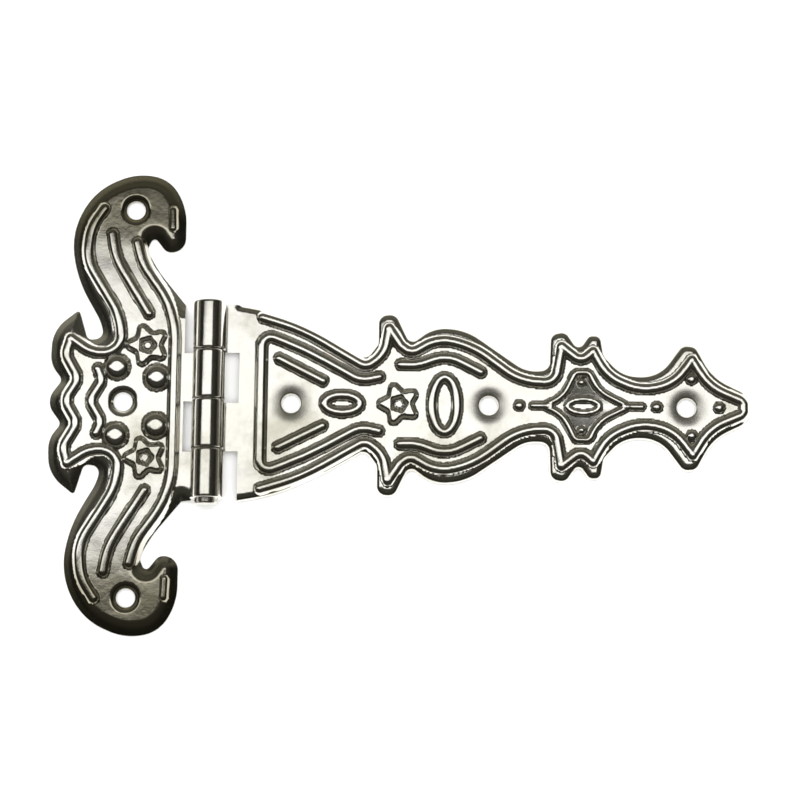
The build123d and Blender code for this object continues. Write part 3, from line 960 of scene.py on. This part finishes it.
# %% [markdown]
# ## Floor and light
#
# Polished metal shows what is around it rather than its own colour. A long strip overhead whitens the flats and draws
# a line along each crest. The dim room leaves the flanks dark, a little less so behind the hinge and low down, and
# the white floor shows in the steepest edges. A wide panel that the metal doesn't mirror keeps the floor white. A ring
# of studio panels would be quicker to set up, but it would whiten the flanks and lose the drawing.

# %% Floor
FLOOR_HALF = 3.0
FLOOR_DROP = 0.0002
PAPER = (0.9, 0.9, 0.9, 1)

floor_corners = [(x * FLOOR_HALF, y * FLOOR_HALF, -FLOOR_DROP) for x, y in ((-1, -1), (1, -1), (1, 1), (-1, 1))]
floor_mesh = bpy.data.meshes.new("floor")
floor_mesh.from_pydata(floor_corners, [], [(0, 1, 2, 3)])
floor = placed("floor", floor_mesh)
paper, start = new_finish("white_paper")
matte = start.node("ShaderNodeBsdfDiffuse", {}, {"Color": PAPER})
start.node("ShaderNodeOutputMaterial", {}, {"Surface": matte})
floor_mesh.materials.append(paper)
print("floor", 2 * FLOOR_HALF, "m wide")

# %% Lights
STRIP_PLACE = (-0.2, 0.172, 0.9)
STRIP_AIM = Vector((-0.2, 0, 0))
STRIP_SIZE = (1.1, 0.165)
STRIP_POWER = 0.74
FILL_PLACE = (0.07, -0.1, 1.5)
FILL_SIZE = (3.0, 3.0)
FILL_POWER = 75


def panel(name, place, aim, size, power):
    """A soft rectangular light."""
    lamp = bpy.data.lights.new(name, "AREA")
    lamp.shape = "RECTANGLE"
    lamp.size, lamp.size_y = size
    lamp.energy = power
    holder = placed(name, lamp)
    holder.location = place
    holder.rotation_mode = "QUATERNION"
    holder.rotation_quaternion = (aim - Vector(place)).to_track_quat("-Z", "Y")
    return holder


panel("overhead_strip", STRIP_PLACE, STRIP_AIM, STRIP_SIZE, STRIP_POWER)
fill = panel("floor_fill", FILL_PLACE, (cad_low + cad_high) / 2, FILL_SIZE, FILL_POWER)
fill.visible_glossy = False

# %% Room
BLACK = (0, 0, 0, 1)
WHITE = (1, 1, 1, 1)
WARM_LIGHT = (1.0, 0.96, 0.78, 1)

world = bpy.data.worlds.new("dim_room")
world.use_nodes = True
world.node_tree.nodes.clear()
bpy.context.scene.world = world
start = Value(world.node_tree)
to_camera = start.node("ShaderNodeLightPath", {}, {}, "Is Camera Ray")
direction = start.node("ShaderNodeTexCoord", {}, {}, "Generated")
rise = start.node("ShaderNodeSeparateXYZ", {}, {0: direction}, "Z")
behind = start.node("ShaderNodeSeparateXYZ", {}, {0: direction}, "Y")
ceiling = 0.03 * ramp(start, rise, 0.4, 0.95)
back_wall = 0.075 * ramp(start, behind, 0.25, 0.7)
low_down = 0.14 * (1 - ramp(start, rise, 0.1, 0.5))
tone = start.mix(0.01 + ceiling + back_wall + low_down, BLACK, WARM_LIGHT)
seen = start.mix(to_camera, tone, WHITE)
glow = start.node("ShaderNodeBackground", {}, {"Color": seen, "Strength": 1.0})
start.node("ShaderNodeOutputWorld", {}, {"Surface": glow})
bpy.context.scene.view_settings.view_transform = "Standard"
print("room", len(world.node_tree.nodes), "nodes")

# %% [markdown]
# ## Camera
#
# The photograph looks almost straight down on the front, tipped a little towards the lower edge. A short lens close
# by would spread the near parts, so the camera stands well back and uses a long one.

# %% Camera
LENS = 140.0
SENSOR = 36.0
TILT = math.radians(11)
ROLL = math.radians(0.65)
TARGET = Vector((67.35, 1.1, 2.0)) * MM
DISTANCE = 0.7785

camera_data = bpy.data.cameras.new("camera")
camera_data.lens = LENS
camera_data.sensor_width = SENSOR
camera = placed("camera", camera_data)
camera.location = TARGET + Vector((0, -math.sin(TILT), math.cos(TILT))) * DISTANCE
camera.rotation_euler = (TILT, 0, 0)
camera.rotation_euler.rotate_axis("Z", ROLL)
bpy.context.scene.camera = camera
print("camera at", [round(v, 3) for v in camera.location], "m")
